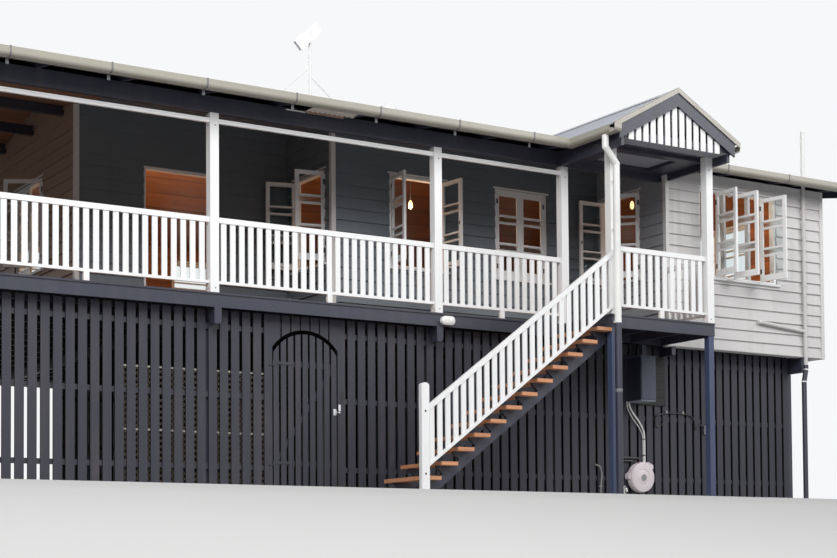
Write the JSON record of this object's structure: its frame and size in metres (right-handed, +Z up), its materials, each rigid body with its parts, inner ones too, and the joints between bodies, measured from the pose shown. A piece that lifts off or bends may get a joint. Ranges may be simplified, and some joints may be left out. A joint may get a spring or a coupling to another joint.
{
  "type": "stilt house",
  "caption": "High-set timber house on stumps with front veranda, gabled entry porch, open-tread stair, batten screens below the floor and an arched gate.",
  "frame": {"origin": "middle of the outline at ground level", "axes": "+X to the right along the front, +Y back into the house, +Z up"},
  "size_m": [15.425, 11.817, 7.1691],
  "materials": {
    "dark_timber": "painted charcoal blue, satin",
    "white_paint": "painted white, satin",
    "weatherboard": "painted warm grey, satin",
    "floor_timber": "oiled hardwood boards",
    "roof_sheet": "corrugated steel, pale grey",
    "gutter": "cream, gloss",
    "glass": "clear",
    "white_plastic": "white pipe",
    "grey_metal": "grey enamel"
  },
  "bodies": {
    "house": {"stumps": "dark_timber", "bearers": "dark_timber", "floor_joists": "dark_timber", "edge_beams": "dark_timber", "porch_legs": "dark_timber", "veranda_deck": "floor_timber", "house_floor": "floor_timber", "veranda_posts": "white_paint", "porch_posts": "white_paint", "veranda_beams": "dark_timber", "screen_track": "white_paint", "porch_beams": "dark_timber", "veranda_balustrades": "white_paint", "porch_balustrades": "white_paint", "deck_balustrades": "white_paint", "stair_stringers": "dark_timber", "stair_treads": "floor_timber", "stair_balustrade": "white_paint", "newel_post": "white_paint", "front_room_wall": "weatherboard", "front_room_side_wall": "weatherboard", "middle_wall": "weatherboard", "middle_side_wall": "weatherboard", "inner_wall_left": "weatherboard", "inner_wall_right": "weatherboard", "inner_wall_head": "weatherboard", "deck_wall": "weatherboard", "right_wall": "weatherboard", "back_wall": "weatherboard", "front_room_window": "white_paint", "front_room_side_window": "white_paint", "middle_wall_windows": "white_paint", "middle_side_window": "white_paint", "deck_window": "white_paint", "right_windows": "white_paint", "back_windows": "white_paint", "window_glass": "glass", "doorway_frame": "white_paint", "main_roof_front": "roof_sheet", "main_roof_back": "roof_sheet", "porch_roof": "roof_sheet", "rafters": "dark_timber", "barge_boards": "dark_timber", "gable_battens": "white_paint", "fascias": "dark_timber", "gutters": "gutter", "downpipe": "white_plastic", "front_screens": "dark_timber", "screen_over_gate": "dark_timber", "side_and_back_screens": "dark_timber", "meter_box": "grey_metal", "hose_reel": "white_plastic", "vent_stack": "white_plastic", "roof_vent": "white_plastic", "antenna": "white_plastic", "bulkhead_light": "white_plastic"},
    "gate": {"arched_gate": "dark_timber"}
  },
  "joints": [
    {"name": "gate_hinge", "type": "hinge", "parent": "house", "child": "gate", "pos_m": [-2.7565, -4.1425, 0.94], "axis": [0, 0, -1], "range_deg": [0, 95]}
  ]
}
